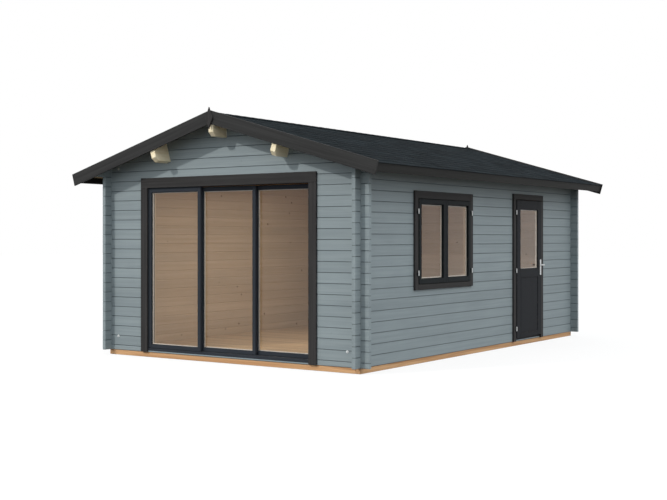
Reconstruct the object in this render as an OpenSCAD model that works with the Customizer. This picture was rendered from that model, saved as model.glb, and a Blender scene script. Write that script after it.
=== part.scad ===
// Log garden house with a gable front, for reuse as an assembly.
// Millimetres, Z up, ground at z = 0, front gable towards -Y, ridge along Y.
// Heights in the sizes below start at the underside of the walls.

/* [Log walls] */
// outer width across the gable front
wall_w = 3600; // [3400:10:4400]
// outer length along the ridge
wall_l = 5500; // [5200:10:6500]
// thickness of a wall log
wall_t = 44; // [40:1:50]
// height of one log course
log_h = 114; // [112:1:120]
// full courses in a side wall
courses = 19; // [19:1:21]
// length of a log end past the corner
log_end = 100; // [60:5:150]
// width of the groove between two courses
groove_w = 10; // [6:1:14]
// depth of the groove between two courses
groove_d = 5; // [2:0.5:8]

/* [Base and floor] */
// height of the base beams
base_h = 60; // [45:1:90]
// width of a base beam
base_beam_w = 58; // [52:1:90]
// inset of the base beams from the wall faces
base_inset = 10; // [0:1:12]
// number of floor joists
joists = 5; // [3:1:8]
// width of a floor joist
joist_w = 45; // [35:1:70]
// thickness of the floor boards
floor_t = 26; // [18:1:30]
// gap between the floor boards and the walls
floor_gap = 5; // [2:1:8]

/* [Roof] */
// slope of the roof in degrees
roof_pitch = 16.3; // [14:0.1:20]
// thickness of the roof boards
roof_board_t = 19; // [16:1:25]
// thickness of the roof covering
roofing_t = 5; // [4:1:12]
// reach of the roof past the side walls
eave_over = 361; // [250:1:450]
// reach of the roof past the gable walls
gable_over = 250; // [180:1:320]
// width of a barge board
barge_w = 143; // [110:1:170]
// rise of the barge boards over the roof covering
barge_rise = 16; // [0:1:25]
// thickness of a barge board
barge_t = 19; // [16:1:25]
// width of an eaves fascia
fascia_w = 91; // [80:1:120]
// thickness of an eaves fascia
fascia_t = 18; // [15:1:22]
// reach of the roof covering past the eaves fascia
drip = 13; // [6:1:20]
// width of the ridge cap on each slope
cap_w = 120; // [90:1:160]
// thickness of the ridge cap
cap_t = 3; // [3:0.5:6]
// width of a finial
finial_w = 110; // [90:1:180]
// height of a finial
finial_h = 241; // [200:1:280]
// thickness of a finial
finial_t = 18; // [12:1:25]
// width of a finial halfway to its tips
finial_waist = 46; // [30:1:60]
// height of a finial's middle under the roof ridge
finial_drop = 68; // [60:1:100]

/* [Purlins] */
// width of a purlin
purlin_w = 66; // [50:1:90]
// height of a purlin
purlin_h = 231; // [180:1:260]
// distance of a side purlin from the ridge
purlin_out = 900; // [800:5:1100]
// chamfer under the end of a purlin
purlin_chamfer = 45; // [20:1:60]

/* [Sliding door] */
// clear width of the frame
patio_w = 2310; // [2100:10:2400]
// whole courses up to the half course over the opening
patio_courses = 17; // [17:1:18]
// height of the log left under a door
strip_h = 15; // [10:1:18]
// width of a jamb
patio_jamb_w = 40; // [30:1:50]
// height of the head
patio_head_h = 84; // [60:1:100]
// depth of the frame
patio_frame_d = 130; // [126:1:140]
// height of the sill
patio_sill_h = 30; // [20:1:40]
// height of a running rail on the sill
rail_h = 5; // [5:0.5:7]
// width of a running rail
rail_w = 6; // [4:1:10]
// distance from one track to the next
track_step = 42; // [41:0.5:43]
// thickness of a panel
panel_t = 35; // [30:1:36]
// overlap of two neighbouring panels
panel_lap = 45; // [40:1:55]
// width of a panel stile
panel_stile = 45; // [38:1:55]
// height of a panel's top rail
panel_top = 45; // [35:1:60]
// height of a panel's bottom rail
panel_bottom = 40; // [30:1:70]
// thickness of a glass pane
glass_t = 8; // [6:1:10]
// overlap of the side trims on the wall
patio_side_lap = 59; // [45:1:75]
// overlap of the top trim on the wall
patio_top_lap = 30; // [20:1:40]
// thickness of the trims on the gable wall
patio_trim_t = 20; // [16:1:25]

/* [Window] */
// middle of the window along the wall
window_y = -1011; // [-1100:1:-950]
// width of the opening
window_w = 1306; // [1250:2:1350]
// courses under the window
window_low_courses = 7; // [7:1:8]
// courses up to the top of the window
window_high_courses = 16; // [16:1:16]
// overlap of the side trims on the wall
window_side_lap = 29; // [25:1:35]
// overlap of the top trim on the wall
window_top_lap = 25; // [20:1:32]
// overlap of the bottom trim on the wall
window_low_lap = 42; // [30:1:50]
// thickness of the trims
window_trim_t = 25; // [22:1:26]
// gap between the trims and the sashes
window_trim_gap = 5; // [3:1:8]
// width of a frame post
window_post_w = 44; // [36:1:50]
// height of the frame's head
window_head_h = 61; // [40:1:70]
// height of the frame's sill
window_sill_h = 23; // [20:1:40]
// depth of the frame
window_frame_d = 70; // [60:1:80]
// width of a sash stile
sash_stile = 52; // [44:1:60]
// height of a sash rail
sash_rail = 54; // [46:1:64]
// depth of the glass behind the face of a sash
sash_glass_in = 25; // [16:1:30]
// thickness of a sash
sash_t = 45; // [38:1:50]
// reach of a sash past the wall face
sash_proud = 33; // [28:1:36]
// height of the lower window hinges over the opening
window_hinge_low = 144; // [120:1:170]
// distance between a sash's two hinges
window_hinge_step = 680; // [600:5:720]

/* [Hinged door] */
// hinge edge of the leaf along the wall
door_y = 877; // [800:1:950]
// width of the leaf
door_w = 750; // [720:1:800]
// whole courses up to the half course over the door
door_courses = 16; // [16:1:16]
// width of a jamb
door_jamb_w = 38; // [32:1:42]
// height of the head
door_head_h = 58; // [45:1:65]
// depth of the frame
door_frame_d = 60; // [54:1:70]
// height of the threshold
door_sill_h = 25; // [20:1:28]
// thickness of the leaf
leaf_t = 40; // [36:1:44]
// reach of the leaf past the wall face
leaf_proud = 32; // [28:1:35]
// width of a leaf stile
leaf_stile = 106; // [90:1:115]
// height of the leaf's bottom rail
leaf_bottom = 53; // [45:1:90]
// height of the lower panel
leaf_panel_h = 721; // [680:1:740]
// height of the middle rail
leaf_middle = 106; // [90:1:115]
// height of the top rail
leaf_top = 114; // [90:1:125]
// depth of the lower panel's recess
leaf_recess = 12; // [6:1:15]
// depth of the glass behind the face of the leaf
leaf_glass_in = 12; // [8:1:16]
// overlap of the trims on the wall
door_trim_lap = 31; // [25:1:33]
// overlap of the top trim on the wall
door_top_lap = 13; // [10:1:20]
// thickness of the trims
door_trim_t = 25; // [22:1:26]
// gap between the trims and the leaf
door_trim_gap = 8; // [6:1:12]

/* [Hinges and handle] */
// reach of the hinge axis past the face of a leaf
hinge_out = 6; // [5:0.5:8]
// distance of the hinge axis from the edge of a leaf
hinge_side = 25; // [20:1:30]
// radius of a hinge knuckle
knuckle_r = 7; // [6.5:0.5:8]
// radius of a hinge pin
pin_r = 4; // [3:0.5:4.5]
// height of one hinge
hinge_h = 56; // [48:1:64]
// thickness of a hinge plate
hinge_plate_t = 3; // [2:0.5:4]
// reach of a hinge plate over the leaf
hinge_plate_w = 14; // [10:1:30]
// reach of a hinge foot over the trim
hinge_foot_w = 20; // [15:1:22]
// gap between a hinge's axis and its foot
hinge_foot_gap = 1; // [0.5:0.5:2]
// height of the lowest door hinge's middle
hinge_low_z = 163; // [140:1:200]
// distance from one door hinge to the next
hinge_step = 747; // [700:1:770]
// height of the lever over the walls' underside
lever_z = 970; // [940:1:1000]
// distance of the lever's spindle from the leaf's edge
backset = 30; // [26:1:45]
// width of the handle plate
handle_plate_w = 38; // [30:1:45]
// height of the handle plate
handle_plate_h = 207; // [170:1:240]
// thickness of the handle plate
handle_plate_t = 5; // [3:1:8]
// part of the handle plate that lies over the spindle
handle_plate_up = 72; // [50:1:90]
// diameter of the lever's neck
neck_d = 18; // [14:1:22]
// reach of the lever from the leaf
lever_reach = 60; // [50:1:70]
// length of the lever
lever_l = 120; // [100:1:140]
// thickness of the lever
lever_t = 14; // [10:1:18]

/* [Clearances] */
// running gap around moving pieces
run_gap = 5; // [5:0.5:6]
// gap at the free edge of the hinged leaf
latch_gap = 7; // [7:0.5:9]
// gap of a moving piece over its seat
seat_gap = 0.3; // [0.2:0.1:0.5]
// fitting gap of a frame in its wall opening
fit_gap = 3; // [2:1:5]
// gap between pieces laid on each other on the slope
lay_gap = 0.2; // [0.1:0.1:0.4]

/* [View] */
// piece to show

/* [Hidden] */

half_w = wall_w / 2;
half_l = wall_l / 2;
in_w = half_w - wall_t;
in_l = half_l - wall_t;
wall_top = courses * log_h;
slope = tan(roof_pitch);
ridge_z = wall_top + in_w * slope;
roof_t = roof_board_t + roofing_t;
eave_s = (half_w + eave_over - roof_t * sin(roof_pitch)) / cos(roof_pitch);
fascia_s = eave_s - drip - fascia_t;
roof_l = 2 * (half_l + gable_over - barge_t);
patio_top = (patio_courses + 0.5) * log_h;
patio_clear_h = patio_top - fit_gap - patio_head_h;
patio_open = patio_w / 2 + patio_jamb_w + fit_gap;
panel_w = (patio_w + 2 * panel_lap) / 3;
rail_z = strip_h + patio_sill_h + rail_h;
window_z0 = window_low_courses * log_h;
window_z1 = window_high_courses * log_h;
window_a = window_y - window_w / 2;
window_b = window_y + window_w / 2;
sash_y0 = window_a + fit_gap + window_post_w;
sash_z0 = window_z0 + window_sill_h;
sash_w = (window_w - 2 * window_post_w - 3 * fit_gap) / 2;
sash_h = window_z1 - fit_gap - window_head_h - sash_z0;
window_in_a = sash_y0 - window_trim_gap;
window_in_b = sash_y0 + 2 * sash_w + fit_gap + window_trim_gap;
door_z1 = (door_courses + 0.5) * log_h;
door_a = door_y - run_gap - door_jamb_w - fit_gap;
door_b = door_y + door_w + latch_gap + door_jamb_w + fit_gap;
door_clear_h = door_z1 - fit_gap - door_head_h;
leaf_x = half_w + leaf_proud;
leaf_z0 = strip_h + door_sill_h + run_gap;
leaf_z1 = door_clear_h - run_gap;
leaf_mid_z = leaf_z0 + leaf_bottom + leaf_panel_h;
hinge_x = leaf_x + hinge_out;
hinge_y = door_y - hinge_side;
cut = 1;
round_fn = 32;

wall_color = [0.5, 0.54, 0.56];
trim_color = [0.2, 0.2, 0.21];
frame_color = [0.16, 0.18, 0.21];
pine_color = [0.82, 0.72, 0.56];
base_color = [0.72, 0.5, 0.3];
roof_color = [0.14, 0.17, 0.2];
glass_color = [0.7, 0.8, 0.82];
metal_color = [0.7, 0.7, 0.72];

function reverse(list) = [for (i = [len(list) - 1:-1:0]) list[i]];

// height of the underside of the roof boards at x
function roof_under(x) = wall_top - (abs(x) - in_w) * slope;

// point on the right slope: s runs down from the ridge, t is square to it
function roof_pt(s, t) = [s * cos(roof_pitch) + t * sin(roof_pitch),
    ridge_z - s * sin(roof_pitch) + t * cos(roof_pitch)];

// course lines of a wall from z0 to z1, shifted by a part of a course
function joints(z0, z1, shift) = [for (k = [0:courses + 8]) if ((k + shift) * log_h > z0 + groove_w
    && (k + shift) * log_h < z1 - groove_w) (k + shift) * log_h];

// points up one grooved face between the two end chamfers
function face_pts(face, inward, z0, z1, lines) = concat(
    [[face + inward * groove_d, z0], [face, z0 + groove_w / 2]],
    [for (z = lines) for (p = [[0, -groove_w / 2], [groove_d, 0], [0, groove_w / 2]])
        [face + inward * p[0], z + p[1]]],
    [[face, z1 - groove_w / 2], [face + inward * groove_d, z1]]);

// section of stacked logs from z0 to z1, standing on the line from 0 to wall_t
module log_section(z0, z1, shift) {
    lines = joints(z0, z1, shift);
    polygon(concat(face_pts(0, 1, z0, z1, lines), reverse(face_pts(wall_t, -1, z0, z1, lines))));
}

// logs of a gable wall from x0 to x1, with the outer face at y0
module logs_x(x0, x1, y0, z0, z1)
    translate([x0, y0, 0])
        rotate([90, 0, 90])
            linear_extrude(x1 - x0)
                log_section(z0, z1, 0.5);

// logs of a side wall from y0 to y1, with the lower x face at x0
module logs_y(y0, y1, x0, z0, z1)
    translate([x0, y1, 0])
        rotate([90, 0, 0])
            linear_extrude(y1 - y0)
                log_section(z0, z1, 0);

// boxes that the crossing logs fill at one corner, from z0 to z1
module crossings(side, end, z0, z1, shift)
    for (k = [-1:courses])
        let (a = (k + shift) * log_h, b = a + log_h / 2)
            if (b > z0 && a < z1)
                translate([side * (half_w - wall_t / 2), end * (half_l - wall_t / 2), a + log_h / 4])
                    crossing_box(shift);

// one notch: half a course high, as wide as the log that passes through
module crossing_box(shift)
    cube([wall_t + (shift == 0.25 ? 0 : 2 * cut), wall_t + (shift == 0.25 ? 2 * cut : 0),
        log_h / 2], center = true);

module gable_notches(side, end, z0, z1) crossings(side, end, z0, z1, 0.25);

module side_notches(side, end, z0, z1) crossings(side, end, z0, z1, 0.75);

// straight bar along Y from a section drawn in x and z
module bar_y(length)
    translate([0, length / 2, 0])
        rotate([90, 0, 0])
            linear_extrude(length)
                children();

module on_base() translate([0, 0, base_h]) children();

module both_sides() {
    children();
    mirror([1, 0, 0]) children();
}

module both_ends() {
    children();
    mirror([0, 1, 0]) children();
}

// block between two corner points
module block(a, b) translate(a) cube(b - a);

module side_base_beams()
    color(base_color)
        both_sides()
            translate([half_w - base_inset - base_beam_w, base_inset - half_l, 0])
                cube([base_beam_w, wall_l - 2 * base_inset, base_h]);

module end_base_beams()
    color(base_color)
        both_ends()
            translate([base_beam_w + base_inset - half_w, base_inset - half_l, 0])
                cube([wall_w - 2 * base_beam_w - 2 * base_inset, base_beam_w, base_h]);

module floor_joists() {
    first = half_w - base_inset - base_beam_w;
    step = 2 * first / (joists + 1);
    reach = half_l - base_inset - base_beam_w;
    color(base_color)
        for (k = [1:joists])
            translate([step * k - first - joist_w / 2, -reach, 0])
                cube([joist_w, 2 * reach, base_h]);
}

// floor boards, cut out for the sill and the threshold of the two doors
module floor()
    color(pine_color)
        on_base()
            difference() {
                translate([floor_gap - in_w, floor_gap - in_l, 0])
                    cube([2 * (in_w - floor_gap), 2 * (in_l - floor_gap), floor_t]);
                block([-patio_w / 2 - patio_jamb_w, -half_l, -cut],
                    [patio_w / 2 + patio_jamb_w, patio_frame_d - half_l, floor_t + cut]);
                block([half_w - door_frame_d, door_a + fit_gap, -cut],
                    [half_w, door_b - fit_gap, floor_t + cut]);
            }

// gable wall beside the sliding door, right hand
module front_wall_side()
    color(wall_color)
        on_base()
            difference() {
                logs_x(patio_open, half_w + log_end, -half_l, 0, patio_top);
                gable_notches(1, -1, 0, patio_top);
            }

module front_wall_left() mirror([1, 0, 0]) front_wall_side();

module front_wall_right() front_wall_side();

// everything under the roof boards, along Y
module under_roof(length, low)
    bar_y(length)
        polygon([[-half_w - log_end, low], [half_w + log_end, low],
            [half_w + log_end, roof_under(half_w + log_end)], [0, ridge_z],
            [-half_w - log_end, roof_under(half_w + log_end)]]);

// bar of the ridge purlin, drawn up past the roof slopes by a rise
module ridge_purlin_bar(rise)
    translate([0, 0, ridge_z + rise])
        purlin_bar(purlin_h + purlin_w / 2 * slope + rise);

module ridge_purlin_solid()
    intersection() {
        ridge_purlin_bar(0);
        under_roof(roof_l, 0);
    }

// bars of the side purlins, drawn up in the same way
module side_purlin_bars(rise)
    both_sides()
        translate([purlin_out, 0, roof_under(purlin_out)])
            rotate([0, roof_pitch, 0])
                translate([0, 0, rise])
                    purlin_bar(purlin_h + rise);

// purlin hanging down from z = 0 with chamfered ends
module purlin_bar(height)
    translate([-purlin_w / 2, 0, 0])
        rotate([90, 0, 90])
            linear_extrude(purlin_w)
                polygon([[-roof_l / 2, 0], [-roof_l / 2, purlin_chamfer - height],
                    [purlin_chamfer - roof_l / 2, -height], [roof_l / 2 - purlin_chamfer, -height],
                    [roof_l / 2, purlin_chamfer - height], [roof_l / 2, 0]]);

// gable wall between two heights, cut to the roof and let over the purlins
module gable_logs(end, z0)
    difference() {
        intersection() {
            logs_x(-half_w - log_end, half_w + log_end, end < 0 ? -half_l : half_l - wall_t,
                z0, ridge_z + log_h);
            under_roof(wall_l + 2 * cut, 0);
        }
        gable_notches(1, end, z0, wall_top);
        gable_notches(-1, end, z0, wall_top);
        ridge_purlin_bar(cut);
        side_purlin_bars(cut);
    }

module front_gable()
    color(wall_color)
        on_base()
            gable_logs(-1, patio_top);

module rear_wall()
    color(wall_color)
        on_base()
            gable_logs(1, 0);

// cut down bottom logs under the two doors
module door_sill_logs()
    color(wall_color)
        on_base() {
            block([-patio_open, -half_l, 0], [patio_open, -in_l, strip_h]);
            block([in_w, door_a, 0], [half_w, door_b, strip_h]);
        }

// side wall logs from y0 to y1 on the right hand, below the eaves log
module right_logs(y0, y1, z0, z1)
    color(wall_color)
        on_base()
            difference() {
                logs_y(y0, y1, in_w, z0, z1);
                if (y0 < -half_l) side_notches(1, -1, z0, z1);
                if (y1 > half_l) side_notches(1, 1, z0, z1);
            }

module left_wall()
    mirror([1, 0, 0])
        right_logs(-half_l - log_end, half_l + log_end, 0, wall_top - log_h);

module right_wall_low() right_logs(-half_l - log_end, door_a, 0, window_z0);

module right_wall_front() right_logs(-half_l - log_end, window_a, window_z0, window_z1);

module right_wall_middle() right_logs(window_b, door_a, window_z0, window_z1);

module right_wall_rear() right_logs(door_b, half_l + log_end, 0, window_z1);

// the log over the window, notched for the head of the door
module right_lintel_log()
    difference() {
        right_logs(-half_l - log_end, half_l + log_end, window_z1, window_z1 + log_h);
        on_base() block([in_w - cut, door_a, window_z1 - cut], [half_w + cut, door_b, door_z1]);
    }

module right_wall_high()
    right_logs(-half_l - log_end, half_l + log_end, window_z1 + log_h, wall_top - log_h);

// top log of each side wall, bevelled to the roof and running out to the barge boards
module eaves_logs()
    color(wall_color)
        on_base()
            both_sides()
                difference() {
                    intersection() {
                        logs_y(-roof_l / 2, roof_l / 2, in_w, wall_top - log_h, wall_top + log_h);
                        under_roof(roof_l, wall_top - log_h);
                    }
                    for (end = [-1, 1])
                        side_notches(1, end, wall_top - log_h, wall_top + log_h);
                }

module ridge_purlin()
    color(pine_color)
        on_base()
            ridge_purlin_solid();

module side_purlins()
    color(pine_color)
        on_base()
            side_purlin_bars(0);

// layer on the right slope between two heights square to it, down to s
module slope_layer(t0, t1, s)
    polygon([[0, ridge_z + t0 / cos(roof_pitch)], roof_pt(s, t0), roof_pt(s, t1),
        [0, ridge_z + t1 / cos(roof_pitch)]]);

module roof_boards_right()
    color(pine_color)
        on_base()
            bar_y(roof_l)
                slope_layer(lay_gap, roof_board_t, fascia_s);

module roof_boards_left() mirror([1, 0, 0]) roof_boards_right();

module roofing_right()
    color(roof_color)
        on_base()
            bar_y(roof_l)
                slope_layer(roof_board_t + lay_gap, roof_t, eave_s);

module roofing_left() mirror([1, 0, 0]) roofing_right();

module ridge_cap()
    color(roof_color)
        on_base()
            bar_y(roof_l)
                both_sides()
                    slope_layer(roof_t + lay_gap, roof_t + cap_t, cap_w);

module barge_boards_right()
    color(trim_color)
        on_base()
            both_ends()
                translate([0, half_l + gable_over - barge_t / 2, 0])
                    bar_y(barge_t)
                        slope_layer(roof_t + barge_rise - barge_w, roof_t + barge_rise, eave_s);

module barge_boards_left() mirror([1, 0, 0]) barge_boards_right();

module finials()
    color(trim_color)
        on_base()
            both_ends()
                translate([0, half_l + gable_over + finial_t / 2, ridge_z + roof_t - finial_drop])
                    bar_y(finial_t)
                        polygon([[0, -finial_h / 2], [finial_waist / 2, -finial_h / 4],
                            [finial_w / 2, 0], [finial_waist / 2, finial_h / 4],
                            [0, finial_h / 2], [-finial_waist / 2, finial_h / 4],
                            [-finial_w / 2, 0], [-finial_waist / 2, -finial_h / 4]]);

module eaves_fascias()
    color(trim_color)
        on_base()
            both_sides()
                bar_y(roof_l)
                    polygon([roof_pt(fascia_s + lay_gap, roof_board_t - fascia_w),
                        roof_pt(fascia_s + fascia_t, roof_board_t - fascia_w),
                        roof_pt(fascia_s + fascia_t, roof_board_t),
                        roof_pt(fascia_s + lay_gap, roof_board_t)]);

module patio_side_trims()
    color(trim_color)
        on_base()
            both_sides()
                block([patio_w / 2, -half_l - patio_trim_t, 0],
                    [patio_open + patio_side_lap, -half_l, patio_clear_h]);

module patio_top_trim()
    color(trim_color)
        on_base()
            block([-patio_open - patio_side_lap, -half_l - patio_trim_t, patio_clear_h],
                [patio_open + patio_side_lap, -half_l, patio_top + patio_top_lap]);

module patio_jambs()
    color(frame_color)
        on_base()
            both_sides()
                block([patio_w / 2, -half_l, strip_h + patio_sill_h],
                    [patio_w / 2 + patio_jamb_w, patio_frame_d - half_l, patio_clear_h]);

module patio_head()
    color(frame_color)
        on_base()
            block([-patio_w / 2 - patio_jamb_w, -half_l, patio_clear_h],
                [patio_w / 2 + patio_jamb_w, patio_frame_d - half_l, patio_top - fit_gap]);

// middle of a track, counted from the outside
function track_y(n) = patio_frame_d / 2 - half_l + (n - 1) * track_step;

module patio_sill()
    color(frame_color)
        on_base() {
            block([-patio_w / 2 - patio_jamb_w, -half_l, strip_h],
                [patio_w / 2 + patio_jamb_w, patio_frame_d - half_l, strip_h + patio_sill_h]);
            for (n = [0:2])
                translate([-patio_w / 2, track_y(n) - rail_w / 2, strip_h + patio_sill_h])
                    cube([patio_w, rail_w, rail_h]);
        }

// ring of one panel with its lower left corner at x0 on a track
module panel_ring(x0, n, z0, z1)
    difference() {
        block([x0, track_y(n) - panel_t / 2, z0], [x0 + panel_w, track_y(n) + panel_t / 2, z1]);
        block([x0 + panel_stile, track_y(n) - panel_t, rail_z + panel_bottom],
            [x0 + panel_w - panel_stile, track_y(n) + panel_t,
                patio_clear_h - run_gap - panel_top]);
    }

module panel_glass(x0, n)
    color(glass_color)
        on_base()
            block([x0 + panel_stile, track_y(n) - glass_t / 2, rail_z + panel_bottom],
                [x0 + panel_w - panel_stile, track_y(n) + glass_t / 2,
                    patio_clear_h - run_gap - panel_top]);

module patio_panel_left()
    color(frame_color)
        on_base()
            panel_ring(-patio_w / 2, 0, rail_z, patio_clear_h);

module patio_glass_left() panel_glass(-patio_w / 2, 0);

module patio_panel_middle()
    color(frame_color)
        on_base()
            panel_ring(-panel_w / 2, 1, rail_z + seat_gap, patio_clear_h - run_gap);

module patio_glass_middle() panel_glass(-panel_w / 2, 1);

module patio_panel_right()
    color(frame_color)
        on_base()
            panel_ring(patio_w / 2 - run_gap - panel_w, 2, rail_z + seat_gap,
                patio_clear_h - run_gap);

module patio_glass_right() panel_glass(patio_w / 2 - run_gap - panel_w, 2);

module window_side_trims()
    color(trim_color)
        on_base() {
            block([half_w, window_a - window_side_lap, window_z0 - window_low_lap],
                [half_w + window_trim_t, window_in_a, window_z1 + window_top_lap]);
            block([half_w, window_in_b, window_z0 - window_low_lap],
                [half_w + window_trim_t, window_b + window_side_lap, window_z1 + window_top_lap]);
        }

module window_cross_trims()
    color(trim_color)
        on_base() {
            block([half_w, window_in_a, window_z0 - window_low_lap],
                [half_w + window_trim_t, window_in_b, sash_z0 - window_trim_gap]);
            block([half_w, window_in_a, sash_z0 + sash_h + window_trim_gap],
                [half_w + window_trim_t, window_in_b, window_z1 + window_top_lap]);
        }

module window_frame()
    color(frame_color)
        on_base()
            difference() {
                block([half_w - window_frame_d, window_a + fit_gap, window_z0],
                    [half_w, window_b - fit_gap, window_z1 - fit_gap]);
                block([0, sash_y0, sash_z0],
                    [wall_w, window_b - fit_gap - window_post_w, sash_z0 + sash_h]);
            }

module each_sash()
    for (y = [sash_y0, sash_y0 + sash_w + fit_gap])
        translate([half_w + sash_proud - sash_t, y, sash_z0])
            children();

module window_sashes()
    color(frame_color)
        on_base()
            each_sash()
                difference() {
                    cube([sash_t, sash_w, sash_h]);
                    translate([-cut, sash_stile, sash_rail])
                        cube([sash_t + 2 * cut, sash_w - 2 * sash_stile, sash_h - 2 * sash_rail]);
                }

module window_glass()
    color(glass_color)
        on_base()
            each_sash()
                translate([sash_t - sash_glass_in - glass_t, sash_stile, sash_rail])
                    cube([glass_t, sash_w - 2 * sash_stile, sash_h - 2 * sash_rail]);

// lower knuckle with the pin, and the foot that reaches back to the face of a trim
module hinge_foot(back) {
    cylinder(r = knuckle_r, h = hinge_h / 2, $fn = round_fn);
    cylinder(r = pin_r, h = hinge_h, $fn = round_fn);
    translate([-back, -hinge_plate_t - hinge_foot_gap, 0])
        cube([back, hinge_plate_t, hinge_h / 2]);
    translate([-back, -hinge_foot_w, 0])
        cube([hinge_plate_t, hinge_foot_w - hinge_foot_gap, hinge_h / 2]);
}

// upper knuckle with the plate that lies on the face of a leaf
module hinge_plate()
    translate([0, 0, hinge_h / 2 + seat_gap]) {
        cylinder(r = knuckle_r, h = hinge_h / 2 - seat_gap, $fn = round_fn);
        translate([-hinge_out, 0, 0])
            cube([hinge_plate_t, hinge_side + hinge_plate_w, hinge_h / 2 - seat_gap]);
    }

// the same, bored to turn on the pin
module hinge_flap()
    difference() {
        hinge_plate();
        translate([0, 0, hinge_h / 2])
            cylinder(r = pin_r + seat_gap, h = hinge_h, $fn = round_fn);
    }

// the four hinges of the sashes, which stay shut
module window_hinges()
    color(metal_color)
        on_base()
            for (far = [0, 1], k = [0, 1])
                translate([half_w + sash_proud + hinge_out,
                    far == 0 ? sash_y0 - hinge_side : sash_y0 + 2 * sash_w + fit_gap + hinge_side,
                    window_z0 + window_hinge_low + k * window_hinge_step - hinge_h / 2])
                    mirror([0, far, 0]) {
                        hinge_foot(sash_proud + hinge_out - window_trim_t);
                        hinge_plate();
                    }

module door_side_trims()
    color(trim_color)
        on_base()
            for (y = [[door_a - door_trim_lap, door_y - door_trim_gap],
                [door_y + door_w + door_trim_gap, door_b + door_trim_lap]])
                block([half_w, y[0], 0],
                    [half_w + door_trim_t, y[1], leaf_z1 + door_trim_gap]);

module door_top_trim()
    color(trim_color)
        on_base()
            block([half_w, door_a - door_trim_lap, leaf_z1 + door_trim_gap],
                [half_w + door_trim_t, door_b + door_trim_lap, door_z1 + door_top_lap]);

module door_jambs()
    color(frame_color)
        on_base()
            for (y = [door_a + fit_gap, door_b - fit_gap - door_jamb_w])
                translate([half_w - door_frame_d, y, strip_h + door_sill_h])
                    cube([door_frame_d, door_jamb_w, door_clear_h - strip_h - door_sill_h]);

module door_head()
    color(frame_color)
        on_base()
            block([half_w - door_frame_d, door_a + fit_gap, door_clear_h],
                [half_w, door_b - fit_gap, door_z1 - fit_gap]);

module door_threshold()
    color(frame_color)
        on_base()
            block([half_w - door_frame_d, door_a + fit_gap, strip_h],
                [half_w, door_b - fit_gap, strip_h + door_sill_h]);

module side_door_leaf()
    color(frame_color)
        on_base()
            difference() {
                block([leaf_x - leaf_t, door_y, leaf_z0], [leaf_x, door_y + door_w, leaf_z1]);
                block([0, door_y + leaf_stile, leaf_mid_z + leaf_middle],
                    [wall_w, door_y + door_w - leaf_stile, leaf_z1 - leaf_top]);
                for (x = [leaf_x - leaf_t - leaf_recess, leaf_x - leaf_recess])
                    block([x, door_y + leaf_stile, leaf_z0 + leaf_bottom],
                        [x + 2 * leaf_recess, door_y + door_w - leaf_stile, leaf_mid_z]);
            }

module side_door_glass()
    color(glass_color)
        on_base()
            translate([leaf_x - leaf_glass_in - glass_t, door_y + leaf_stile,
                leaf_mid_z + leaf_middle])
                cube([glass_t, door_w - 2 * leaf_stile,
                    leaf_z1 - leaf_top - leaf_mid_z - leaf_middle]);

// plate and lever on one face, pointing back to the hinges
module lever_set() {
    translate([0, -handle_plate_w / 2, handle_plate_up - handle_plate_h])
        cube([handle_plate_t, handle_plate_w, handle_plate_h]);
    rotate([0, 90, 0])
        cylinder(d = neck_d, h = lever_reach, $fn = round_fn);
    translate([lever_reach - lever_t, neck_d / 2 - lever_l, -neck_d / 2])
        cube([lever_t, lever_l, neck_d]);
}

module side_door_handle()
    color(metal_color)
        on_base()
            for (side = [0, 1])
                translate([leaf_x - side * leaf_t, door_y + door_w - backset, lever_z])
                    mirror([side, 0, 0])
                        lever_set();

module each_door_hinge()
    for (k = [0:2])
        translate([hinge_x, hinge_y, hinge_low_z + k * hinge_step - hinge_h / 2])
            children();

module door_hinge_feet()
    color(metal_color)
        on_base()
            each_door_hinge()
                hinge_foot(leaf_proud + hinge_out - door_trim_t);

module side_door_hinges()
    color(metal_color)
        on_base()
            each_door_hinge()
                hinge_flap();

side_base_beams();
end_base_beams();
floor_joists();
floor();
front_wall_left();
front_wall_right();
front_gable();
door_sill_logs();
rear_wall();
left_wall();
right_wall_low();
right_wall_front();
right_wall_middle();
right_wall_rear();
right_lintel_log();
right_wall_high();
eaves_logs();
ridge_purlin();
side_purlins();
roof_boards_left();
roof_boards_right();
roofing_left();
roofing_right();
ridge_cap();
barge_boards_left();
barge_boards_right();
finials();
eaves_fascias();
patio_side_trims();
patio_top_trim();
patio_jambs();
patio_head();
patio_sill();
patio_panel_left();
patio_glass_left();
patio_panel_middle();
patio_glass_middle();
patio_panel_right();
patio_glass_right();
window_side_trims();
window_cross_trims();
window_frame();
window_sashes();
window_glass();
window_hinges();
door_side_trims();
door_top_trim();
door_jambs();
door_head();
door_threshold();
door_hinge_feet();
side_door_leaf();
side_door_glass();
side_door_handle();
side_door_hinges();
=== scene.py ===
# Log garden house with a gable front: finishes, boards, shingles and fittings
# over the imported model. Everything is in metres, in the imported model's frame.
import math
import random

import bmesh
import bpy
from mathutils import Matrix, Vector


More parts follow.
